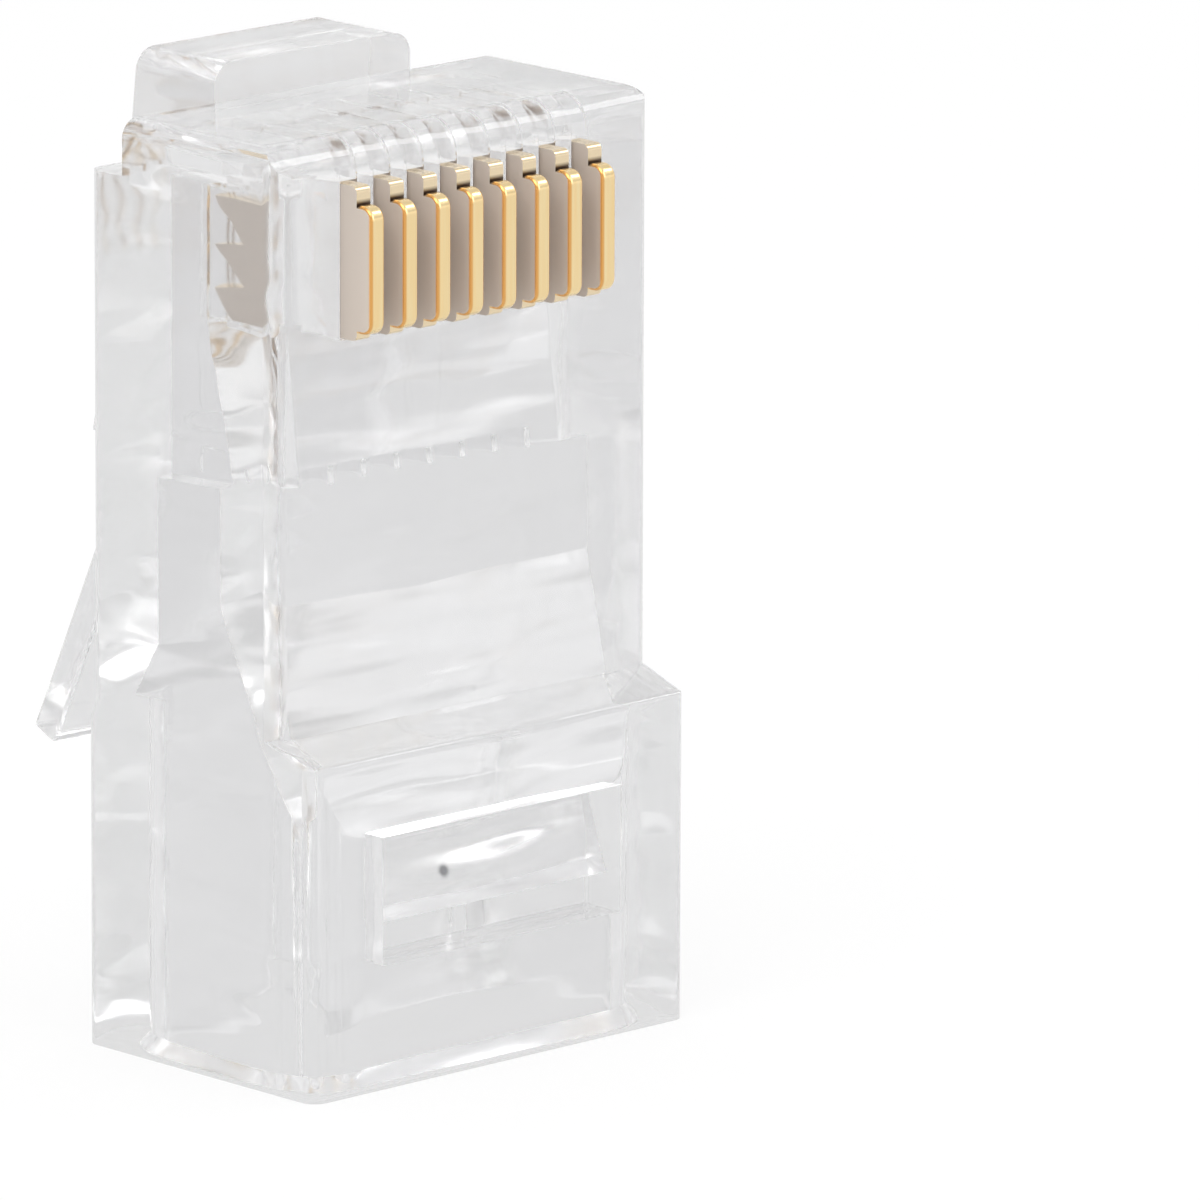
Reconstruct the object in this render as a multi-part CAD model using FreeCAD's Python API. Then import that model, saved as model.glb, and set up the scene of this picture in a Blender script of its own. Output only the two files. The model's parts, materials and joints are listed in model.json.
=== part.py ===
"""8P8C modular plug (RJ45), clear, uncrimped and empty.

Millimetres. X runs along the row of contacts, Y through the thickness with the contact
face at -Y and the latch at +Y, Z along the plug from the cable end (0) up to the nose.
"""
import FreeCAD, Part
import math
import os

Vector = FreeCAD.Vector

# ---- driving dimensions: housing ------------------------------------------------------
plug_length = 21.8        # cable end to nose
plug_width = 11.68        # across the contact row
nose_thickness = 6.3      # contact face to latch side, front section
block_length = 7.75       # length of the thick cable block, at its outer face
block_step = 1.3          # how far the cable block stands proud of the contact face
step_rise = 0.45          # the step leans this much along Z
latch_step = 0.2          # the cable block is this much thicker on the latch side too
nose_round = 0.8          # lead-in round between nose and contact face
nose_side_round = 0.45
corner_round = 0.4        # moulded radius on the upright edges
step_round = 0.3          # radius along the outer edge of the step
ledge_drop = 1.3          # the nose is lower beside the latch root
ledge_depth = 5.1         # the ledge, and the latch root, start this deep

# ---- driving dimensions: contacts and their slots --------------------------------------
contact_count = 8
contact_pitch = 1.02
blade_thickness = 0.42
crown_height = 1.0        # crown above the contact face before crimping
crown_from_nose = 1.42    # crown's nose end, measured down from the nose
crown_length = 2.95
crown_round = 0.32        # at the crown's two ends
crown_edge_round = 0.09   # along the crown's rim
shoulder_height = 0.5     # shoulders above the contact face before crimping
front_shoulder = 0.42     # how far the shoulder on the nose side reaches past the crown
rear_shoulder = 0.18      # the same on the cable side
shoulder_round = 0.15
shoulder_depth = 1.3      # shoulders' lower end below the contact face
blade_inset = 0.04        # inner part of the blade is this much inside the crown's ends
tine_ledge_depth = 2.1    # where the tines start, below the contact face
tine_tip_depth = 3.1      # where the tines end
tine_count = 3
tine_gap = 0.36           # V gap between neighbouring tines
crimp_travel = 1.25       # how far the blades go in when crimped
slot_clearance = 0.05     # each side of a blade
slot_end_clearance = 0.05
nose_slot_depth = 0.85    # depth of the slots where they run out through the nose

# ---- driving dimensions: channels and cavities -----------------------------------------
channel_width = 0.86
channel_roof_depth = 3.2  # roof of the wire channels under the contacts
channel_floor_depth = 4.4
channel_nose_wall = 1.35  # plastic left between the channels and the nose
comb_end = 8.2            # the comb of channels ends this far from the nose
contact_wall = 2.3        # contact-side wall over the conductor cavity
funnel_start = 10.9       # from the nose: the contact-side wall starts to flare
funnel_end = 16.0         # the contact-side wall of the cable cavity is reached here
floor_ramp_start = 12.1   # from the nose: the latch-side wall slopes out from here
floor_ramp_end = 13.4
funnel_overlap = 1.0      # the funnel runs this far into the cable cavity
side_wall = 0.94
cable_roof = 1.2          # contact-side wall of the cable block
cable_floor_depth = 5.2   # latch-side wall of the cable cavity, below the contact face
cable_corner = 1.2        # corner radius of the cable cavity
mouth_chamfer = 0.35

# ---- driving dimensions: jacket clamp ---------------------------------------------------
window_width = 7.4
window_start = 2.9        # cable-side edge of the window, from the cable end
window_length = 3.0
clamp_side_gap = 0.12
clamp_end_gap = 0.2       # between the window and the hinged edge
clamp_free_gap = 0.9      # between the window and the free edge
clamp_pin_radius = 0.22   # rounded edge that the clamp turns about
clamp_recess = 0.95       # that edge lies this far below the block's outer face
clamp_free_recess = 0.35  # the free edge lies this far below it
clamp_heel_depth = 1.1    # thickness of the free edge

# ---- driving dimensions: latch ------------------------------------------------------------
latch_width = 6.02        # root and lever down to the locking shoulders
latch_tail_width = 3.3
root_thickness = 2.65     # at the top of the root
root_flare = 0.3          # the root's outer face leans out by this much on its way down
root_rise = 0.9           # root stands above the nose
root_length = 2.7         # root's height along Z
root_corner = 0.5         # round at the two top corners, seen from behind
hinge_inset = 0.5         # hinge axis, in from the root's outer face at its lower end
knuckle_radius = 0.46     # rounded end of the lever, about the hinge axis
knuckle_gap = 0.05
lever_thickness = 0.92
lever_lean = 11.5         # degrees between the wide part of the lever and the body
tail_lean = 25.5          # degrees between the tail and the body
shoulder_from_nose = 8.36 # the locking edges, where the lever narrows
tail_tip_from_nose = 16.4
tail_thickness = 0.8
tip_radius = 0.55

# ---- derived -------------------------------------------------------------------------------
half_width = plug_width / 2
# the Z axis runs through the middle of the cable mouth
contact_face = (block_step - cable_roof - cable_floor_depth) / 2
latch_face = contact_face + nose_thickness
block_face = contact_face - block_step
cavity_half = half_width - side_wall
cable_roof_y = block_face + cable_roof
cable_floor_y = contact_face + cable_floor_depth
slot_width = blade_thickness + 2 * slot_clearance
crown_end = crown_from_nose + crown_length


def contact_x(index):
    """Centre of contact number index, counted from 1 at the -X side."""
    return (index - (contact_count + 1) / 2) * contact_pitch


def at(depth, from_nose):
    """A point (Y, Z) given by its depth below the contact face and distance from the nose."""
    return (contact_face + depth, plug_length - from_nose)


def prism(points, x_from, x_to):
    """Closed outline of (Y, Z) points, extruded along X."""
    corners = [Vector(x_from, y, z) for y, z in points]
    wire = Part.makePolygon(corners + corners[:1])
    return Part.Face(wire).extrude(Vector(x_to - x_from, 0, 0))


def centred_prism(points, width):
    return prism(points, -width / 2, width / 2)


def box(x_from, x_to, y_from, y_to, z_from, z_to):
    corner = Vector(x_from, y_from, z_from)
    return Part.makeBox(x_to - x_from, y_to - y_from, z_to - z_from, corner)


def rod(radius, width, y, z):
    """Round bar along X, centred on X = 0."""
    return Part.makeCylinder(radius, width, Vector(-width / 2, y, z), Vector(1, 0, 0))


def edges_along(shape, axis, keep):
    """Straight edges parallel to an axis whose middle passes the keep test."""
    found = []
    for edge in shape.Edges:
        if edge.Curve.TypeId != "Part::GeomLine":
            continue
        along = edge.tangentAt(edge.FirstParameter)
        if abs(abs(along.dot(axis)) - 1) > 1e-6:
            continue
        if keep(edge.CenterOfMass):
            found.append(edge)
    return found


def near(value, target):
    return abs(value - target) < 1e-4


def rounded_box(half_x, y_from, y_to, radius, z_from, z_to):
    """Upright block with rounded corners."""
    block = box(-half_x, half_x, y_from, y_to, z_from, z_to)
    upright = edges_along(block, Vector(0, 0, 1), lambda c: True)
    return block.makeFillet(radius, upright)


def rounded_section(half_x, y_from, y_to, radius, z):
    """Wire of a rounded rectangle at height z."""
    block = rounded_box(half_x, y_from, y_to, radius, z, z + 1)
    bottom = [f for f in block.Faces if near(f.CenterOfMass.z, z)][0]
    return bottom.OuterWire


# ---- housing --------------------------------------------------------------------------------

def upright_section(y_from, y_to, z):
    """Rounded rectangle, the section of the housing at one height."""
    return rounded_section(half_width, y_from, y_to, corner_round, z)


def rounded_columns():
    """Front section and cable block with rounded upright edges, joined by the sloped step."""
    block_back = latch_face + latch_step
    step_top = block_length + step_rise
    levels = [
        upright_section(block_face, block_back, 0),
        upright_section(block_face, block_back, block_length),
        upright_section(contact_face, latch_face, step_top),
        upright_section(contact_face, latch_face, plug_length),
    ]
    solid = None
    for lower, upper in zip(levels, levels[1:]):
        layer = Part.makeLoft([lower, upper], True, True)
        solid = layer if solid is None else solid.fuse(layer)
    return solid.removeSplitter()


def side_profile():
    """The housing seen from the side: step, nose round and the ledge behind the nose."""
    back = latch_face + latch_step
    outline = [
        (block_face, 0),
        (block_face, block_length),
        (contact_face, block_length + step_rise),
        (contact_face, plug_length),
        at(ledge_depth, 0),
        at(ledge_depth, ledge_drop),
        (back, plug_length - ledge_drop),
        (back, 0),
    ]
    solid = centred_prism(outline, plug_width)
    x_axis = Vector(1, 0, 0)
    nose = edges_along(solid, x_axis,
                       lambda c: near(c.y, contact_face) and near(c.z, plug_length))
    solid = solid.makeFillet(nose_round, nose)
    step = edges_along(solid, x_axis, lambda c: near(c.y, block_face) and c.z > 1)
    return solid.makeFillet(step_round, step)


def front_profile():
    """The housing seen from the front: the nose's two side edges are rounded."""
    block = box(-half_width, half_width, block_face - 1, latch_face + 1, 0, plug_length)
    y_axis = Vector(0, 1, 0)
    top = edges_along(block, y_axis, lambda c: near(c.z, plug_length))
    return block.makeFillet(nose_side_round, top)


def housing_outside():
    """Outer form, where the side, front and upright sections agree."""
    solid = rounded_columns().common(side_profile())
    return solid.common(front_profile()).removeSplitter()


def latch_root():
    """Block at the nose that carries the lever, its two top corners rounded."""
    inner = ledge_depth
    outer = ledge_depth + root_thickness
    outline = [
        at(inner, -root_rise),
        at(outer, -root_rise),
        at(outer + root_flare, root_length - root_rise),
        at(inner, root_length - root_rise),
    ]
    solid = centred_prism(outline, latch_width)
    y_axis = Vector(0, 1, 0)
    top = plug_length + root_rise
    return solid.makeFillet(root_corner, edges_along(solid, y_axis, lambda c: near(c.z, top)))


def hinge_point():
    """Y and Z of the axis that the lever bends about, at the root's lower end."""
    outer = ledge_depth + root_thickness + root_flare
    return at(outer - hinge_inset, root_length - root_rise)


def hinge_seat():
    """Hollow in the root's lower end for the rounded end of the lever."""
    y, z = hinge_point()
    return rod(knuckle_radius + knuckle_gap, latch_width + 1, y, z)


def contact_slot(index):
    """Slot for one blade: open through the nose, stepped like the blade it guides."""
    x_from = contact_x(index) - slot_width / 2
    x_to = x_from + slot_width
    above = -crown_height - 1
    shoulder_top = crown_from_nose - front_shoulder - slot_end_clearance
    shoulder_end = crown_end + rear_shoulder + slot_end_clearance
    shoulder_floor = shoulder_depth + crimp_travel + slot_end_clearance
    blade_top = crown_from_nose + blade_inset - slot_end_clearance
    blade_end = crown_end - blade_inset + slot_end_clearance
    outline = [
        at(above, -1),
        at(nose_slot_depth, -1),
        at(nose_slot_depth, shoulder_top),
        at(shoulder_floor, shoulder_top),
        at(shoulder_floor, blade_top),
        at(channel_roof_depth + slot_end_clearance, blade_top),
        at(channel_roof_depth + slot_end_clearance, blade_end),
        at(shoulder_floor, blade_end),
        at(shoulder_floor, shoulder_end),
        at(above, shoulder_end),
    ]
    return prism(outline, x_from, x_to)


def wire_channel(index):
    """Channel for one conductor: low under the contact, roof rising towards the cavity."""
    x_from = contact_x(index) - channel_width / 2
    rise_start = crown_end + rear_shoulder + slot_end_clearance
    outline = [
        at(channel_roof_depth, channel_nose_wall),
        at(channel_roof_depth, rise_start),
        at(contact_wall, comb_end),
        at(contact_wall, comb_end + 0.5),
        at(channel_floor_depth, comb_end + 0.5),
        at(channel_floor_depth, channel_nose_wall),
    ]
    return prism(outline, x_from, x_from + channel_width)


def inner_cavity():
    """Conductor cavity, funnel and cable cavity, open at the cable end."""
    funnel = [
        at(contact_wall, comb_end),
        at(contact_wall, funnel_start),
        (cable_roof_y, plug_length - funnel_end),
        (cable_roof_y, plug_length - funnel_end - funnel_overlap),
        (cable_floor_y, plug_length - funnel_end - funnel_overlap),
        (cable_floor_y, plug_length - floor_ramp_end),
        at(channel_floor_depth, floor_ramp_start),
        at(channel_floor_depth, comb_end),
    ]
    conductors = centred_prism(funnel, 2 * cavity_half)
    cable = rounded_box(cavity_half, cable_roof_y, cable_floor_y, cable_corner,
                        -1, plug_length - funnel_end)
    return conductors.common(flared_limit()).fuse(cable)


def flared_limit():
    """Keeps the funnel's lower part inside the rounded corners of the cable cavity."""
    shoulder = plug_length - floor_ramp_end
    lower = rounded_box(cavity_half, cable_roof_y, cable_floor_y, cable_corner, 0, shoulder)
    upper = box(-cavity_half, cavity_half, block_face, latch_face, shoulder, plug_length)
    return lower.fuse(upper)


def mouth_lead_in():
    """Bevel round the cable mouth."""
    wide = mouth_section(mouth_chamfer, 0)
    narrow = mouth_section(0, mouth_chamfer)
    return Part.makeLoft([wide, narrow], True)


def mouth_section(grow, z):
    """Wire of the cable cavity's section, grown by an amount, at height z."""
    return rounded_section(cavity_half + grow, cable_roof_y - grow, cable_floor_y + grow,
                           cable_corner + grow, z)


def clamp_window():
    """Window in the cable block's contact-side wall, for the jacket clamp."""
    return box(-window_width / 2, window_width / 2, block_face - 1, cable_roof_y + 1,
               window_start, window_start + window_length)


def make_housing():
    solid = housing_outside().fuse(latch_root()).removeSplitter()
    solid = solid.cut(hinge_seat())
    solid = solid.cut(inner_cavity())
    solid = solid.cut(mouth_lead_in())
    solid = solid.cut(clamp_window())
    for index in range(1, contact_count + 1):
        solid = solid.cut(wire_channel(index))
        solid = solid.cut(contact_slot(index))
    return solid


# ---- contacts ---------------------------------------------------------------------------------

def blade_outline():
    """Corners (depth, from nose) of a blade: crown, shoulders, inner part and its tines."""
    shoulder_top = crown_from_nose - front_shoulder
    shoulder_end = crown_end + rear_shoulder
    blade_top = crown_from_nose + blade_inset
    blade_end = crown_end - blade_inset
    points = [
        (-crown_height, crown_end),
        (-crown_height, crown_from_nose),
        (-shoulder_height, crown_from_nose),
        (-shoulder_height, shoulder_top),
        (shoulder_depth, shoulder_top),
        (shoulder_depth, blade_top),
    ]
    tine_pitch = (blade_end - blade_top + tine_gap) / tine_count
    for tine in range(tine_count):
        start = blade_top + tine * tine_pitch
        end = start + tine_pitch - tine_gap
        points.append((tine_tip_depth, start + 0.1 * tine_pitch))
        points.append((tine_ledge_depth + tine_gap, end))
        if tine < tine_count - 1:
            points.append((tine_ledge_depth, end + tine_gap))
    points.append((shoulder_depth, blade_end))
    points.append((shoulder_depth, shoulder_end))
    points.append((-shoulder_height, shoulder_end))
    points.append((-shoulder_height, crown_end))
    return points


def crown_end_near(from_nose):
    """True at the two notches where the crown rises from the shoulders."""
    return near(from_nose, crown_from_nose) or near(from_nose, crown_end)


def make_contact(index):
    """One gold-plated blade, standing in its slot as it is before crimping."""
    x_from = contact_x(index) - blade_thickness / 2
    outline = [at(depth, down) for depth, down in blade_outline()]
    solid = prism(outline, x_from, x_from + blade_thickness)
    crown_y = contact_face - crown_height
    shoulder_y = contact_face - shoulder_height
    across = Vector(1, 0, 0)
    shoulder = edges_along(solid, across, lambda c: near(c.y, shoulder_y) and
                           not crown_end_near(plug_length - c.z))
    solid = solid.makeFillet(shoulder_round, shoulder)
    crown = edges_along(solid, across, lambda c: near(c.y, crown_y))
    solid = solid.makeFillet(crown_round, crown)
    rim = [e for e in solid.Edges if near(e.CenterOfMass.y, crown_y) and e.Length > 1]
    return solid.makeFillet(crown_edge_round, rim)


# ---- latch lever --------------------------------------------------------------------------------

def lean(start, angle, length):
    """The (Y, Z) point a length away from start, down the plug and leaning out by an angle."""
    y, z = start
    swing = math.radians(angle)
    return (y + length * math.sin(swing), z - length * math.cos(swing))


def lever_side_view():
    """Outline of the lever seen from the side: hinge, wide part, bend, tail."""
    hinge = hinge_point()
    wide_drop = hinge[1] - (plug_length - shoulder_from_nose)
    wide_length = wide_drop / math.cos(math.radians(lever_lean))
    bend = lean(hinge, lever_lean, wide_length)
    tail_drop = tail_tip_from_nose - tip_radius - shoulder_from_nose
    tip = lean(bend, tail_lean, tail_drop / math.cos(math.radians(tail_lean)))
    out = lever_thickness / 2
    thin = tail_thickness / 2
    middle = (lever_lean + tail_lean) / 2
    return [
        lean(hinge, lever_lean + 90, out),
        lean(bend, middle + 90, out),
        lean(tip, tail_lean + 90, thin),
        lean(tip, tail_lean - 90, thin),
        lean(bend, middle - 90, out),
        lean(hinge, lever_lean - 90, out),
    ], tip


def lever_back_view():
    """Outline of the lever seen from behind: wide down to the shoulders, then the tail."""
    wide = latch_width / 2
    tail = latch_tail_width / 2
    shoulder = plug_length - shoulder_from_nose
    top = plug_length
    bottom = plug_length - tail_tip_from_nose - 1
    points = [(-wide, top), (wide, top), (wide, shoulder), (tail, shoulder),
              (tail, bottom), (-tail, bottom), (-tail, shoulder), (-wide, shoulder)]
    corners = [Vector(x, latch_face, z) for x, z in points]
    face = Part.Face(Part.makePolygon(corners + corners[:1]))
    return face.extrude(Vector(0, plug_length, 0))


def make_latch_lever():
    """Sprung lever with its two locking shoulders and the thumb tail."""
    outline, tip = lever_side_view()
    y, z = hinge_point()
    solid = centred_prism(outline, latch_width)
    solid = solid.fuse(rod(tip_radius, latch_width, tip[0], tip[1]))
    solid = solid.common(lever_back_view())
    knuckle = rod(knuckle_radius, latch_width, y, z)
    return solid.fuse(knuckle).removeSplitter()


# ---- jacket clamp ----------------------------------------------------------------------------------

def clamp_hinge():
    """Y and Z of the clamp's hinge line, at the nose side of the window."""
    z = window_start + window_length - clamp_pin_radius - clamp_end_gap
    return block_face + clamp_recess + clamp_pin_radius, z


def make_cable_clamp():
    """Wedge that is pushed in on the cable's jacket when the plug is crimped."""
    y, z = clamp_hinge()
    free_end = window_start + clamp_free_gap
    outer = block_face + clamp_free_recess
    inner = outer + clamp_heel_depth
    outline = [
        (y - clamp_pin_radius, z),
        (outer, free_end),
        (inner, free_end),
        (y + clamp_pin_radius, z),
    ]
    width = window_width - 2 * clamp_side_gap
    solid = centred_prism(outline, width)
    return solid.fuse(rod(clamp_pin_radius, width, y, z)).removeSplitter()


# ---- all pieces ------------------------------------------------------------------------------------------

def make_pieces():
    pieces = {"plug_housing": make_housing()}
    pieces["latch_lever"] = make_latch_lever()
    pieces["cable_clamp"] = make_cable_clamp()
    for index in range(1, contact_count + 1):
        pieces["contact_%d" % index] = make_contact(index)
    return pieces


os.makedirs("parts", exist_ok=True)
for name, shape in make_pieces().items():
    shape.exportStep("parts/%s.step" % name)
    print(name, "solids", len(shape.Solids), "valid", shape.isValid(),
          "volume %.3f" % shape.Volume)
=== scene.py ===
# %% [markdown]
# A modular plug, from the frame to the finished picture
#
# The plug is one clear polycarbonate moulding with a sprung latch, a jacket clamp and eight stamped
# contacts. The construction model comes first, as a fixed frame: it holds the real sizes and the
# joints. Everything below dresses that frame, so places are taken from its boxes and joints.

# %% Load the frame
import json
import math

import bmesh
import bpy
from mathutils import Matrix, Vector


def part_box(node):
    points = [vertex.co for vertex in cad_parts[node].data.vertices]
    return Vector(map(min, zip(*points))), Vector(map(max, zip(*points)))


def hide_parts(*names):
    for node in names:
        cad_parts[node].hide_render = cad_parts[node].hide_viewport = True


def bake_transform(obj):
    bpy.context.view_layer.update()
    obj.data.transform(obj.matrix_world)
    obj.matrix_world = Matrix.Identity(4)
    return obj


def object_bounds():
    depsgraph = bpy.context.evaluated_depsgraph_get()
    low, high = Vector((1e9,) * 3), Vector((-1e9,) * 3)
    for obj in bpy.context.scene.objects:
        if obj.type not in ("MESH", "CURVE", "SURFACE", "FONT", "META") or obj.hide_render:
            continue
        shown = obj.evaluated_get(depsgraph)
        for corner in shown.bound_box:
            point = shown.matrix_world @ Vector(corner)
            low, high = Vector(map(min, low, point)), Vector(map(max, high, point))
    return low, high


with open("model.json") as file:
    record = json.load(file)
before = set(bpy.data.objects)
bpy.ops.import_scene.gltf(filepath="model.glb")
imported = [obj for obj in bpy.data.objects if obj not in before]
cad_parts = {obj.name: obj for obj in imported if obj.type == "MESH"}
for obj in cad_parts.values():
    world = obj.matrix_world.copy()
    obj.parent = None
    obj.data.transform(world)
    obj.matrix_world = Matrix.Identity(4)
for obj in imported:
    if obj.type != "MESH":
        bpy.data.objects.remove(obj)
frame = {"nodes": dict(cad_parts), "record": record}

MM = 0.001
cad_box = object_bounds()
scene = bpy.context.scene


def in_mm(values):
    return [round(value / MM, 2) for value in values]


print("pieces in the frame:", sorted(frame["nodes"]))
print("box of the frame, mm:", [in_mm(corner) for corner in cad_box])

# %% [markdown]
# Places on the plug
#
# The Z axis runs up through the middle of the cable mouth, the contacts look towards -Y and the
# latch hangs at +Y. A few levels are read from the frame once, and later cells work from them.
# They could be typed in each time, but then a changed frame would leave the dressing behind.

# %% Levels read from the frame
FRONT_STEP = 1.3 * MM
low, high = (Vector(corner) for corner in cad_box)
mounts = {mount["name"]: mount for mount in frame["record"]["mounts"]}
joints = {joint["name"]: joint for joint in frame["record"]["behaviour"]["joints"]}
nose_z = mounts["nose_face"]["pos_m"][2]
hinge = Vector(joints["latch_press"]["pos_m"])
block_face = low.y
contact_face = block_face + FRONT_STEP
contact_names = sorted(name for name in frame["nodes"] if name.startswith("contact_"))
print("latch hinge at, mm:", in_mm(hinge), "nose at, mm:", round(nose_z / MM, 2))

# %% [markdown]
# Helpers for new pieces and for node trees
#
# A bmesh becomes an object in the same few steps each time, and every finish is a graph of nodes
# that is set and linked the same way. These helpers take those steps, so that the cells that follow
# read as the recipe of the piece or finish.

# %% Helpers
def as_object(bm, name):
    mesh = bpy.data.meshes.new(name)
    bm.to_mesh(mesh)
    bm.free()
    piece = bpy.data.objects.new(name, mesh)
    scene.collection.objects.link(piece)
    return piece


def feed(tree, socket, value):
    """Link the value into the socket if it comes from a node, and set it otherwise."""
    if isinstance(value, bpy.types.NodeSocket):
        tree.links.new(value, socket)
    else:
        socket.default_value = value


def calculated(tree, operation, one, other=0.0):
    node = tree.nodes.new("ShaderNodeMath")
    node.operation = operation
    feed(tree, node.inputs[0], one)
    feed(tree, node.inputs[1], other)
    return node.outputs[0]


def ramped(tree, value, start, end, at_start=0.0, at_end=1.0):
    """At or below start it gives at_start, at or above end at_end, and a mix in between."""
    node = tree.nodes.new("ShaderNodeMapRange")
    feed(tree, node.inputs["Value"], value)
    feed(tree, node.inputs["From Min"], start)
    feed(tree, node.inputs["From Max"], end)
    feed(tree, node.inputs["To Min"], at_start)
    feed(tree, node.inputs["To Max"], at_end)
    return node.outputs["Result"]


def colour_mix(tree, factor, at_zero, at_one):
    node = tree.nodes.new("ShaderNodeMix")
    node.data_type = "RGBA"
    feed(tree, node.inputs["Factor"], factor)
    feed(tree, node.inputs[6], at_zero)
    feed(tree, node.inputs[7], at_one)
    return node.outputs[2]


def shader_mix(tree, factor, at_zero, at_one):
    node = tree.nodes.new("ShaderNodeMixShader")
    for socket, value in zip(node.inputs, (factor, at_zero, at_one)):
        feed(tree, socket, value)
    return node.outputs[0]


print("helpers ready")

# %% [markdown]
# The studio: world
#
# Clear plastic has hardly any colour of its own: what the eye sees in it is the room, bent and
# mirrored. A studio for small goods puts it on white and lets pale grey surroundings draw its edges.
# A picture of a room could stand in for them, but a few bands by height do the same. The camera
# sees pure white, while the light that reaches the plug, straight or through the plastic, comes
# from a pale room with brighter and greyer bands, as white boards and the gaps between them make
# in a studio. The bands give the flat clear faces something to show.

# %% World
ROOM_BELOW, ROOM_ABOVE = 0.6, 0.9
ROOM_BANDS = ((0.46, 0.76), (0.52, 1.0), (0.58, 1.0), (0.61, 0.68), (0.68, 0.68),
              (0.71, 1.0), (0.80, 1.0), (0.84, 0.68))


def room_grey(tree):
    """The grey of the room, by the height of the direction that a ray looks in."""
    place = tree.nodes.new("ShaderNodeTexCoord")
    split = tree.nodes.new("ShaderNodeSeparateXYZ")
    feed(tree, split.inputs[0], place.outputs["Generated"])
    ramp = tree.nodes.new("ShaderNodeValToRGB")
    bands = ramp.color_ramp.elements
    bands[0].color = (ROOM_BELOW, ROOM_BELOW, ROOM_BELOW, 1)
    bands[1].color = (ROOM_ABOVE, ROOM_ABOVE, ROOM_ABOVE, 1)
    for position, grey in ROOM_BANDS:
        bands.new(position).color = (grey, grey, grey, 1)
    feed(tree, ramp.inputs["Fac"], ramped(tree, split.outputs["Z"], -1, 1))
    return ramp.outputs["Color"]


def background(tree, colour):
    node = tree.nodes.new("ShaderNodeBackground")
    feed(tree, node.inputs["Color"], colour)
    return node.outputs[0]


def build_world():
    world = bpy.data.worlds.new("pale_room")
    scene.world = world
    world.use_nodes = True
    tree = world.node_tree
    tree.nodes.clear()
    paths = tree.nodes.new("ShaderNodeLightPath")
    room = background(tree, room_grey(tree))
    white = background(tree, (1, 1, 1, 1))
    out = tree.nodes.new("ShaderNodeOutputWorld")
    feed(tree, out.inputs["Surface"],
         shader_mix(tree, paths.outputs["Is Camera Ray"], room, white))
    return world


print("world:", build_world().name)

# %% [markdown]
# The studio: floor
#
# The plug stands on its cable end on a plain white sweep. For the camera the floor is nearly as
# white as the background; for rays that come through the plastic it glows in the same pale grey as
# the room, because a floor that only reflects light would be dark under the plug.

# %% Floor
FLOOR_HALF = 1.0
FLOOR_COLOUR = (0.93, 0.93, 0.93, 1)
FLOOR_ROUGHNESS = 0.8
GLOW_SHARE = 0.85
GLOW_THROUGH_PLUG = 0.80


def white_sweep():
    material = bpy.data.materials.new("white_sweep")
    material.use_nodes = True
    tree = material.node_tree
    paper = tree.nodes["Principled BSDF"]
    paper.inputs["Base Color"].default_value = FLOOR_COLOUR
    paper.inputs["Roughness"].default_value = FLOOR_ROUGHNESS
    paths = tree.nodes.new("ShaderNodeLightPath")
    camera = paths.outputs["Is Camera Ray"]
    through = calculated(tree, "MAXIMUM", paths.outputs["Is Glossy Ray"],
                         paths.outputs["Is Transmission Ray"])
    seen = calculated(tree, "MAXIMUM", camera, through)
    glow = tree.nodes.new("ShaderNodeEmission")
    feed(tree, glow.inputs["Strength"], ramped(tree, camera, 0, 1, GLOW_THROUGH_PLUG, 1))
    mixed = shader_mix(tree, calculated(tree, "MULTIPLY", seen, GLOW_SHARE),
                       paper.outputs[0], glow.outputs[0])
    feed(tree, tree.nodes["Material Output"].inputs["Surface"], mixed)
    return material


def build_floor():
    bm = bmesh.new()
    bmesh.ops.create_grid(bm, x_segments=1, y_segments=1, size=FLOOR_HALF)
    floor = as_object(bm, "floor")
    floor.data.materials.append(white_sweep())
    return floor


print("floor:", build_floor().name)

# %% [markdown]
# The studio: lamps
#
# Two large soft boxes stand over the plug, one at its left side and one in front, and a small one
# sits where the rounded edges of the cable block mirror it towards the viewer. Bare bulbs would
# light it as well, but as hard specks. Clear parts show their edges by such glints, and the same
# boxes light the top of every contact.

# %% Lamps
def soft_box(name, place, size, power):
    lamp = bpy.data.lights.new(name, "AREA")
    lamp.size = size
    lamp.energy = power
    box = bpy.data.objects.new(name, lamp)
    scene.collection.objects.link(box)
    box.location = place
    aim = Vector((0, 0, high.z / 2)) - Vector(place)
    box.rotation_euler = aim.to_track_quat("-Z", "Y").to_euler()
    print(name, "power, W:", power)


soft_box("key_box", (-0.25, -0.10, 0.35), 0.30, 0.7)
soft_box("fill_box", (0.05, -0.40, 0.24), 0.36, 0.40)
soft_box("edge_box", (0.30, -0.16, 0.31), 0.10, 0.10)

# %% [markdown]
# The camera
#
# A long lens from some distance, a little above the plug and turned towards its left side, as
# small parts are usually pictured. A shorter lens nearer by would make the far edges run together.
# The plug stands left of the middle of the frame.

# %% Camera
CAMERA_TURN = math.radians(-42.525)
CAMERA_RISE = math.radians(13.084)
CAMERA_ROLL = math.radians(0.2)
CAMERA_DISTANCE = 340.54 * MM
FOCAL_LENGTH = 445.2
LOOKED_AT = Vector((0, block_face + 4.6 * MM, 10 * MM))
SLIDE_RIGHT = 5.361 * MM
SLIDE_UP = 0.049 * MM


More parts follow.
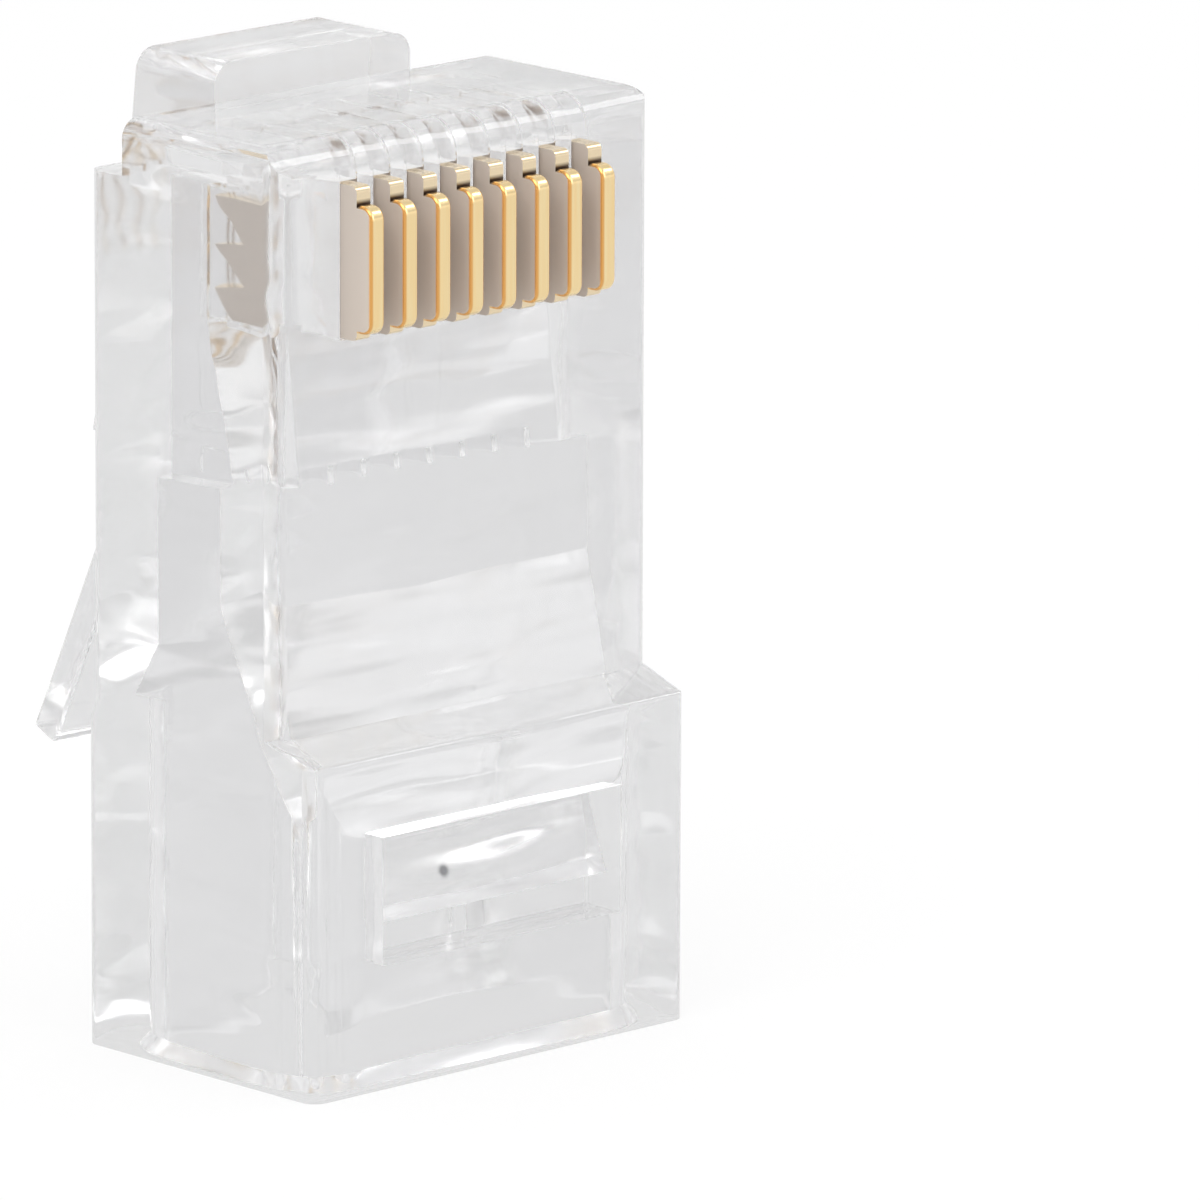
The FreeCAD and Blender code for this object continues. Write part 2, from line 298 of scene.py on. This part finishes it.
def build_camera():
    back = Vector((math.sin(CAMERA_TURN) * math.cos(CAMERA_RISE),
                   -math.cos(CAMERA_TURN) * math.cos(CAMERA_RISE),
                   math.sin(CAMERA_RISE)))
    place = LOOKED_AT + back * CAMERA_DISTANCE
    right = (-back).cross(Vector((0, 0, 1))).normalized()
    up = right.cross(-back)
    aim = LOOKED_AT + right * SLIDE_RIGHT + up * SLIDE_UP
    lens = bpy.data.cameras.new("camera")
    lens.lens = FOCAL_LENGTH
    camera = bpy.data.objects.new("camera", lens)
    scene.collection.objects.link(camera)
    camera.location = place
    camera.rotation_euler = (aim - place).to_track_quat("-Z", "Y").to_euler()
    camera.rotation_euler.rotate_axis("Z", CAMERA_ROLL)
    scene.camera = camera
    return camera


print("camera at, mm:", in_mm(build_camera().location))

# %% [markdown]
# How light is followed
#
# A ray crosses many clear faces before it leaves the plug, so more bounces are allowed than a solid
# object needs. With fewer, the inside of the plug would turn black.

# %% Bounces
BOUNCES = 16
scene.view_settings.view_transform = "Standard"
scene.cycles.max_bounces = BOUNCES
scene.cycles.transmission_bounces = BOUNCES
scene.cycles.glossy_bounces = BOUNCES
scene.cycles.transparent_max_bounces = 2 * BOUNCES
print("bounces:", BOUNCES)

# %% [markdown]
# Finish shared by the clear mouldings
#
# Injection-moulded polycarbonate is never optically flat: it carries faint flow ripples, drawn out
# across the part, and a slight haze. The ripples could be waves in the mesh, but they are so low
# that a bump is enough. One node group makes both from the place on the piece, so the body and the
# clamp share it, each with its own values.

# %% Moulded surface group
RIPPLE_SCALE = 700.0
RIPPLE_STRETCH = (0.2, 0.2, 1)
HAZE_PATCH_SCALE = 180.0
HAZE_SPREAD = (0.3, 0.7)


def moulded_surface_group():
    group = bpy.data.node_groups.new("moulded_surface", "ShaderNodeTree")
    for name, way in (("Haze Low", "INPUT"), ("Haze High", "INPUT"),
                      ("Ripple", "OUTPUT"), ("Haze", "OUTPUT")):
        group.interface.new_socket(name, in_out=way, socket_type="NodeSocketFloat")
    given = group.nodes.new("NodeGroupInput")
    result = group.nodes.new("NodeGroupOutput")
    place = group.nodes.new("ShaderNodeTexCoord")
    stretch = group.nodes.new("ShaderNodeMapping")
    feed(group, stretch.inputs["Vector"], place.outputs["Object"])
    feed(group, stretch.inputs["Scale"], RIPPLE_STRETCH)
    ripple = group.nodes.new("ShaderNodeTexNoise")
    feed(group, ripple.inputs["Vector"], stretch.outputs[0])
    feed(group, ripple.inputs["Scale"], RIPPLE_SCALE)
    feed(group, ripple.inputs["Detail"], 1.0)
    patches = group.nodes.new("ShaderNodeTexNoise")
    feed(group, patches.inputs["Vector"], place.outputs["Object"])
    feed(group, patches.inputs["Scale"], HAZE_PATCH_SCALE)
    feed(group, result.inputs["Ripple"], ripple.outputs["Fac"])
    haze = ramped(group, patches.outputs["Fac"], *HAZE_SPREAD,
                  given.outputs["Haze Low"], given.outputs["Haze High"])
    feed(group, result.inputs["Haze"], haze)
    return group


surface_group = moulded_surface_group()
print("group:", surface_group.name)

# %% [markdown]
# Clear polycarbonate
#
# The plastic bends light by its index of 1.585, the value for polycarbonate. A perfect block would
# trap some of the light for ever, and its rounded edges would look black; on the real moulding small
# flaws let that light out. So after a few bounces the surface lets a ray pass straight through to
# the room. More bounces alone would not help, because the trapped light never meets the surface
# steeply enough to leave.

# %% Clear polycarbonate
INDEX_OF_PLASTIC = 1.585
CLEARNESS = 0.96
CLEAR_COLOUR = (0.94, 0.94, 0.945, 1)
TRAPPED_AFTER = 6


def clear_plastic(name, ripple_height, haze_low, haze_high):
    material = bpy.data.materials.new(name)
    material.use_nodes = True
    material.use_transparent_shadow = False
    tree = material.node_tree
    plastic = tree.nodes["Principled BSDF"]
    plastic.inputs["Base Color"].default_value = CLEAR_COLOUR
    plastic.inputs["IOR"].default_value = INDEX_OF_PLASTIC
    plastic.inputs["Transmission Weight"].default_value = CLEARNESS
    surface = tree.nodes.new("ShaderNodeGroup")
    surface.node_tree = surface_group
    surface.inputs["Haze Low"].default_value = haze_low
    surface.inputs["Haze High"].default_value = haze_high
    bump = tree.nodes.new("ShaderNodeBump")
    bump.inputs["Distance"].default_value = ripple_height
    feed(tree, bump.inputs["Height"], surface.outputs["Ripple"])
    feed(tree, plastic.inputs["Normal"], bump.outputs["Normal"])
    feed(tree, plastic.inputs["Roughness"], surface.outputs["Haze"])
    paths = tree.nodes.new("ShaderNodeLightPath")
    held = calculated(tree, "LESS_THAN", paths.outputs["Ray Depth"], TRAPPED_AFTER)
    feed(tree, plastic.inputs["Alpha"], held)
    return material


clear_body = clear_plastic("clear_moulding", 0.25 * MM, 0.07, 0.13)
clear_bar = clear_plastic("clear_clamp_bar", 0.6 * MM, 0.12, 0.20)
print("materials:", clear_body.name, clear_bar.name)

# %% [markdown]
# Where a point lies on a blade
#
# The blades are stamped from bronze strip with a nickel finish, and gold is plated only on the crown
# that meets the jack. Every blade could be cut into pieces by finish, but a mask does it on the one
# mesh: the way a face looks along X tells side, edge and rim apart, and the depth below the crown
# and the distance to the notch tell the rest. The edge and notch masks place painted shade, not a
# finish.

# %% Masks on a blade
CROWN_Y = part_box(contact_names[0])[0][1]
CROWN_TOP_Z = nose_z - 1.42 * MM
SHOULDER_DROP = 0.5 * MM
EDGE_TILT = (0.25, 0.6)
SIDE_TILT = (0.93, 0.99)
CROWN_BAND = (CROWN_Y + 0.07 * MM, CROWN_Y + 0.112 * MM)
SHOULDER_BAND = (CROWN_Y + 0.8 * SHOULDER_DROP, CROWN_Y + 0.95 * SHOULDER_DROP)
# painted shade: the notch turns dark within this distance of its corner
NOTCH_SHADE_FADE = (0.03 * MM, 0.13 * MM)


def blade_masks(tree):
    place = tree.nodes.new("ShaderNodeTexCoord")
    normal = tree.nodes.new("ShaderNodeSeparateXYZ")
    point = tree.nodes.new("ShaderNodeSeparateXYZ")
    feed(tree, normal.inputs[0], place.outputs["Normal"])
    feed(tree, point.inputs[0], place.outputs["Object"])
    sideways = calculated(tree, "ABSOLUTE", normal.outputs["X"])
    flat_point = tree.nodes.new("ShaderNodeCombineXYZ")
    feed(tree, flat_point.inputs["Y"], point.outputs["Y"])
    feed(tree, flat_point.inputs["Z"], point.outputs["Z"])
    to_notch = tree.nodes.new("ShaderNodeVectorMath")
    to_notch.operation = "DISTANCE"
    feed(tree, to_notch.inputs[0], flat_point.outputs[0])
    feed(tree, to_notch.inputs[1], (0, CROWN_Y + SHOULDER_DROP, CROWN_TOP_Z))
    return {
        # edge: faces turned part way sideways, the rounded edges that get painted shade
        "edge": ramped(tree, sideways, *EDGE_TILT),
        "side": ramped(tree, sideways, *SIDE_TILT),
        "below_crown": ramped(tree, point.outputs["Y"], *CROWN_BAND),
        "shoulder": ramped(tree, point.outputs["Y"], *SHOULDER_BAND),
        # clear_of_notch: 0 at the notch, where painted shade darkens the metal
        "clear_of_notch": ramped(tree, to_notch.outputs["Value"], *NOTCH_SHADE_FADE),
    }


print("crown at y, mm:", round(CROWN_Y / MM, 2), "top at z, mm:", round(CROWN_TOP_Z / MM, 2))

# %% [markdown]
# Gold-plated contacts
#
# The flat sides are a dull warm grey and the rim is gold. A redder, darker line along the rim's two
# rounded edges, and in a thin band at the top of each side, is painted shade of the rounding. The
# shoulders are paler, and the notch between them is painted dark, as painted shade of the recess.
# The colours are laid over each other in that order, each by its mask. A fine grain along the blade
# makes the gold a little uneven.

# %% Contact metal
GOLD_DEEP = (1.0, 0.72, 0.34, 1)
GOLD_PALE = (1.0, 0.83, 0.50, 1)
# painted shade of the rounded edges, on the rim and at the top of each side
EDGE_SHADE_COLOUR = (0.85, 0.45, 0.14, 1)
SHOULDER_COLOUR = (0.92, 0.76, 0.52, 1)
SIDE_COLOUR = (0.74, 0.65, 0.57, 1)
# painted shade of the recess at the notch
NOTCH_SHADE_COLOUR = (0.10, 0.065, 0.045, 1)
RIM_ROUGHNESS, SIDE_ROUGHNESS = 0.22, 0.45
RIM_METALLIC, SIDE_METALLIC = 1.0, 0.35
GRAIN_SCALE = 12000.0
GRAIN_STRETCH = (1, 1, 0.05)


def rolling_grain(tree):
    place = tree.nodes.new("ShaderNodeTexCoord")
    stretch = tree.nodes.new("ShaderNodeMapping")
    grain = tree.nodes.new("ShaderNodeTexNoise")
    feed(tree, stretch.inputs["Vector"], place.outputs["Object"])
    feed(tree, stretch.inputs["Scale"], GRAIN_STRETCH)
    feed(tree, grain.inputs["Vector"], stretch.outputs[0])
    feed(tree, grain.inputs["Scale"], GRAIN_SCALE)
    return grain.outputs["Fac"]


def contact_metal():
    material = bpy.data.materials.new("contact_metal")
    material.use_nodes = True
    tree = material.node_tree
    metal = tree.nodes["Principled BSDF"]
    masks = blade_masks(tree)
    rim = colour_mix(tree, rolling_grain(tree), GOLD_DEEP, GOLD_PALE)
    # painted shade along the rim's rounded edges
    rim = colour_mix(tree, masks["edge"], rim, EDGE_SHADE_COLOUR)
    rim = colour_mix(tree, masks["shoulder"], rim, SHOULDER_COLOUR)
    # painted shade darkens the notch between crown and shoulder
    rim = colour_mix(tree, masks["clear_of_notch"], NOTCH_SHADE_COLOUR, rim)
    # painted shade in a thin band at the top of each side, next to the crown
    flank = colour_mix(tree, masks["below_crown"], EDGE_SHADE_COLOUR, SIDE_COLOUR)
    side = masks["side"]
    feed(tree, metal.inputs["Base Color"], colour_mix(tree, side, rim, flank))
    feed(tree, metal.inputs["Roughness"],
         ramped(tree, side, 0, 1, RIM_ROUGHNESS, SIDE_ROUGHNESS))
    feed(tree, metal.inputs["Metallic"],
         ramped(tree, side, 0, 1, RIM_METALLIC, SIDE_METALLIC))
    return material


blade_metal = contact_metal()
for name in contact_names:
    frame["nodes"][name].data.materials.clear()
    frame["nodes"][name].data.materials.append(blade_metal)
print("contacts dressed:", len(contact_names))

# %% [markdown]
# Bars drawn by their side outline
#
# The latch lever and the small pieces at the nose and comb are all the same across their width. So
# each is drawn once from the side, pulled out along X, and its edges are rounded with a bevel. Boxes
# turned and stretched would give the same shapes, but their corners would be hard to place.

# %% Bar helpers
NEAR = 0.001 * MM


def bar_from_outline(outline, width):
    """A closed (Y, Z) outline pulled out along X, centred on X = 0."""
    bm = bmesh.new()
    corners = [bm.verts.new((-width / 2, y, z)) for y, z in outline]
    face = bm.faces.new(corners)
    pulled = bmesh.ops.extrude_face_region(bm, geom=[face])
    moved = [part for part in pulled["geom"] if isinstance(part, bmesh.types.BMVert)]
    bmesh.ops.translate(bm, verts=moved, vec=(width, 0, 0))
    bmesh.ops.recalc_face_normals(bm, faces=bm.faces)
    return bm


def round_edges(bm, edges, radius, segments):
    bmesh.ops.bevel(bm, geom=edges, offset=radius, offset_type="OFFSET", affect="EDGES",
                    segments=segments, profile=0.5, material=-1)


def edges_across(bm, y, z):
    """The edge along X through the (Y, Z) point."""
    point = Vector((0, y, z))
    return [edge for edge in bm.edges
            if ((edge.verts[0].co + edge.verts[1].co) / 2 - point).length < NEAR]


def along(start, lean, length, aside=0.0):
    """(Y, Z) point down a leaning bar from start, and aside from its middle line."""
    return (start[0] + length * math.sin(lean) + aside * math.cos(lean),
            start[1] - length * math.cos(lean) + aside * math.sin(lean))


print("bar helpers ready")

# %% [markdown]
# The latch lever with its neck
#
# On the real plug the lever grows out of the root block through a solid neck that bends. It is a
# wide leaning bar with a narrower thumb tail that leans further. The two bars overlap a little, the
# tail just under the skin of the wide one; a union joins them to the body later.

# %% Lever bars
WIDE_LEAN = math.radians(11.5)
WIDE_WIDTH = 6.02 * MM
LEVER_HALF = 0.46 * MM
SHOULDER_Z = 13.44 * MM
NECK_RADIUS = 0.42 * MM
NECK_INWARD = 0.95 * MM
NECK_OUTWARD = 0.42 * MM
NECK_TOP_Z = hinge.z + 0.35 * MM
NECK_UNDERSIDE_Z = hinge.z - 0.02 * MM
TAIL_LEAN = math.radians(25.5)
TAIL_WIDTH = 3.3 * MM
TAIL_HALF = 0.4 * MM
TAIL_OVERLAP = 0.5 * MM
TAIL_UNDER_SKIN = 0.02 * MM
TAIL_EDGE_RADIUS = 0.12 * MM
TIP_LENGTH = 0.55 * MM
TIP_Z = 5.97 * MM
lever_start = (hinge.y, hinge.z)
wide_length = (hinge.z - SHOULDER_Z) / math.cos(WIDE_LEAN)


def wide_bar():
    neck_y = hinge.y - LEVER_HALF / math.cos(WIDE_LEAN)
    outline = [
        (hinge.y - NECK_INWARD, NECK_UNDERSIDE_Z),
        (hinge.y - NECK_INWARD, NECK_TOP_Z),
        (hinge.y + NECK_OUTWARD, NECK_TOP_Z),
        along(lever_start, WIDE_LEAN, 0, LEVER_HALF),
        along(lever_start, WIDE_LEAN, wide_length, LEVER_HALF),
        along(lever_start, WIDE_LEAN, wide_length, -LEVER_HALF),
        (neck_y, NECK_UNDERSIDE_Z),
    ]
    bm = bar_from_outline(outline, WIDE_WIDTH)
    round_edges(bm, edges_across(bm, neck_y, NECK_UNDERSIDE_Z), NECK_RADIUS, 6)
    return as_object(bm, "lever_wide_bar")


def tail_bar():
    bend = along(lever_start, WIDE_LEAN, wide_length)
    tip = along(bend, TAIL_LEAN, (SHOULDER_Z - TIP_Z) / math.cos(TAIL_LEAN))
    root_length = wide_length - TAIL_OVERLAP
    root_half = LEVER_HALF - TAIL_UNDER_SKIN
    mid_lean = (WIDE_LEAN + TAIL_LEAN) / 2
    outline = [
        along(lever_start, WIDE_LEAN, root_length, root_half),
        along(bend, mid_lean, 0, LEVER_HALF),
        along(tip, TAIL_LEAN, 0, TAIL_HALF),
        along(tip, TAIL_LEAN, TIP_LENGTH, TAIL_HALF),
        along(tip, TAIL_LEAN, TIP_LENGTH, -TAIL_HALF),
        along(tip, TAIL_LEAN, 0, -TAIL_HALF),
        along(bend, mid_lean, 0, -LEVER_HALF),
        along(lever_start, WIDE_LEAN, root_length, -root_half),
    ]
    bm = bar_from_outline(outline, TAIL_WIDTH)
    round_edges(bm, list(bm.edges), TAIL_EDGE_RADIUS, 3)
    return as_object(bm, "lever_tail_bar")


lever_parts = [wide_bar(), tail_bar()]
print("lever bars:", [len(part.data.polygons) for part in lever_parts], "faces")

# %% [markdown]
# Shallow slots at the nose
#
# In front of the blades the contact slots run out through the rounded nose only as shallow grooves.
# The construction model keeps them deep and plain. They could be cut again less deep, but filling is
# simpler: a bar that follows the nose's rounding a little way under its surface, joined to the body,
# leaves just the grooves.

# %% Nose bar
GROOVE_DEPTH = 0.04 * MM
NOSE_RADIUS = 0.8 * MM
NOSE_BAR_WIDTH = 8.4 * MM
NOSE_BAR_BOTTOM = 1.1 * MM
SLOT_FRONT_Z = nose_z - 0.95 * MM


def nose_bar():
    top_y, front_z = contact_face + GROOVE_DEPTH, nose_z - GROOVE_DEPTH
    bottom_y = contact_face + NOSE_BAR_BOTTOM
    outline = [(top_y, SLOT_FRONT_Z), (top_y, front_z), (bottom_y, front_z),
               (bottom_y, SLOT_FRONT_Z)]
    bm = bar_from_outline(outline, NOSE_BAR_WIDTH)
    round_edges(bm, edges_across(bm, top_y, front_z), NOSE_RADIUS - GROOVE_DEPTH, 6)
    return as_object(bm, "nose_bar")


print("grooves at the nose, mm deep:", round(GROOVE_DEPTH / MM, 2))

# %% [markdown]
# Teeth of the wire comb
#
# Where the cavity meets the eight wire channels, the moulding has only short teeth between them; past
# the teeth the wires run side by side. The construction model divides the channels all the way, so a
# block is taken out between the teeth and the contacts. Its roof rises as the channels' roof does.

# %% Comb gap
CHANNEL_FLOOR_Y = contact_face + 4.4 * MM
COMB_ROOF_Y = contact_face + 2.3 * MM
INNER_ROOF_Y = contact_face + 3.2 * MM
COMB_START_Z = nose_z - 8.2 * MM
COMB_END_Z = nose_z - 4.62 * MM
COMB_WIDTH = 7.96 * MM
TOOTH_LENGTH = 0.4 * MM
CUT_IN = 0.01 * MM


def comb_gap():
    share = TOOTH_LENGTH / (COMB_END_Z - COMB_START_Z)
    tooth_roof_y = COMB_ROOF_Y + share * (INNER_ROOF_Y - COMB_ROOF_Y)
    outline = [
        (tooth_roof_y - CUT_IN, COMB_START_Z + TOOTH_LENGTH),
        (CHANNEL_FLOOR_Y - CUT_IN, COMB_START_Z + TOOTH_LENGTH),
        (CHANNEL_FLOOR_Y - CUT_IN, COMB_END_Z),
        (INNER_ROOF_Y - CUT_IN, COMB_END_Z),
    ]
    return as_object(bar_from_outline(outline, COMB_WIDTH), "comb_gap")


print("teeth of the comb, mm long:", round(TOOTH_LENGTH / MM, 2))

# %% [markdown]
# One moulding
#
# Housing and latch leave the mould as one piece, and in clear plastic every hidden seam would show.
# So the housing's own mesh is copied and merged, the lever bars and the nose bar are joined to it
# with a union, and the gap behind the comb is cut from it.

# %% Joining body and latch
def merged_copy(name):
    """The construction piece's mesh as a closed surface of its own."""
    bm = bmesh.new()
    bm.from_mesh(frame["nodes"][name].data)
    bmesh.ops.remove_doubles(bm, verts=bm.verts, dist=NEAR)
    return as_object(bm, name + "_copy")


def joined(name, base, added, taken):
    for other in added + taken:
        step = base.modifiers.new("step", "BOOLEAN")
        step.operation = "UNION" if other in added else "DIFFERENCE"
        step.solver = "EXACT"
        step.object = other
    graph = bpy.context.evaluated_depsgraph_get()
    mesh = bpy.data.meshes.new_from_object(base.evaluated_get(graph))
    for used in [base] + added + taken:
        bpy.data.objects.remove(used)
    mesh.name = name
    piece = bpy.data.objects.new(name, mesh)
    scene.collection.objects.link(piece)
    return piece


moulding = joined("clear_moulding", merged_copy("plug_housing"), lever_parts + [nose_bar()],
                  [comb_gap()])
moulding.data.materials.clear()
moulding.data.materials.append(clear_body)
print("moulding:", len(moulding.data.polygons), "faces as joined")

# %% [markdown]
# Crisp flat faces
#
# A mould gives flat faces and small even radii. Clear plastic shows any false bend of the light, so
# only the narrow strips of the radii are shaded smooth. Smoothing everything by one angle would
# round off the flat faces as well; weighted normals keep them flat up to the strips.

# %% Shading
FLAT_ANGLE = math.radians(0.4)
SAME_FACE_ANGLE = math.radians(1)
RADIUS_STEP_ANGLE = math.radians(42)
RADIUS_STRIP = 0.35 * MM


def crisp_shading(piece):
    bm = bmesh.new()
    bm.from_mesh(piece.data)
    bmesh.ops.dissolve_limit(bm, angle_limit=FLAT_ANGLE, verts=bm.verts, edges=bm.edges)
    narrow = {face: 2 * face.calc_area() / face.calc_perimeter() < RADIUS_STRIP
              for face in bm.faces}
    for edge in bm.edges:
        one, other = edge.link_faces
        allowed = RADIUS_STEP_ANGLE if narrow[one] or narrow[other] else SAME_FACE_ANGLE
        edge.smooth = edge.calc_face_angle() < allowed
    for face in bm.faces:
        face.smooth = True
    bm.to_mesh(piece.data)
    bm.free()
    weights = piece.modifiers.new("flat_faces", "WEIGHTED_NORMAL")
    weights.keep_sharp = True


crisp_shading(moulding)
print("moulding:", len(moulding.data.polygons), "faces after merging the flat ones")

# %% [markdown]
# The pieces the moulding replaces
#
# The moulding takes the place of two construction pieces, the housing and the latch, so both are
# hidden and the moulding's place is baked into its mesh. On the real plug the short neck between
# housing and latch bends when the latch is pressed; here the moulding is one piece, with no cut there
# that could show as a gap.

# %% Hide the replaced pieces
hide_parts("plug_housing", "latch_lever")
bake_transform(moulding)

# %% [markdown]
# The jacket clamp
#
# The clamp bar sits recessed in its window until it is pushed down on the cable. The frame's own
# shape is right, so it keeps it and only takes the clear plastic, painted a touch lighter than the
# body's as painted light for the bright face of the bar. A small dark spot is painted on its face. A
# ray shot at the bar finds the face, and the colour fades with the distance from that point.

# %% Clamp bar
# where the small dark spot sits on the bar's face, and how it fades
SPOT_X, SPOT_Z = -1.25 * MM, 4.6 * MM
SPOT_FADE = (0.09 * MM, 0.21 * MM)
SPOT_COLOUR = (0.12, 0.12, 0.13, 1)
# painted light: a touch lighter than the body's plastic, for the bar's bright face
BAR_PAINTED_LIGHT_COLOUR = (0.97, 0.97, 0.975, 1)


# paints a small dark spot on the bar, fading out with the distance from its centre
def dark_spot(material, centre):
    tree = material.node_tree
    place = tree.nodes.new("ShaderNodeTexCoord")
    away = tree.nodes.new("ShaderNodeVectorMath")
    away.operation = "DISTANCE"
    feed(tree, away.inputs[0], place.outputs["Object"])
    feed(tree, away.inputs[1], centre)
    clear = ramped(tree, away.outputs["Value"], *SPOT_FADE)
    feed(tree, tree.nodes["Principled BSDF"].inputs["Base Color"],
         colour_mix(tree, clear, SPOT_COLOUR, BAR_PAINTED_LIGHT_COLOUR))


clamp = frame["nodes"]["cable_clamp"]
clamp.data.materials.clear()
clamp.data.materials.append(clear_bar)
before_bar = Vector((SPOT_X, low.y - MM, SPOT_Z))
found, spot_centre, _, _ = clamp.ray_cast(before_bar, Vector((0, 1, 0)))
dark_spot(clear_bar, spot_centre)
print("face of the bar found:", found, "scar at, mm:", in_mm(spot_centre))
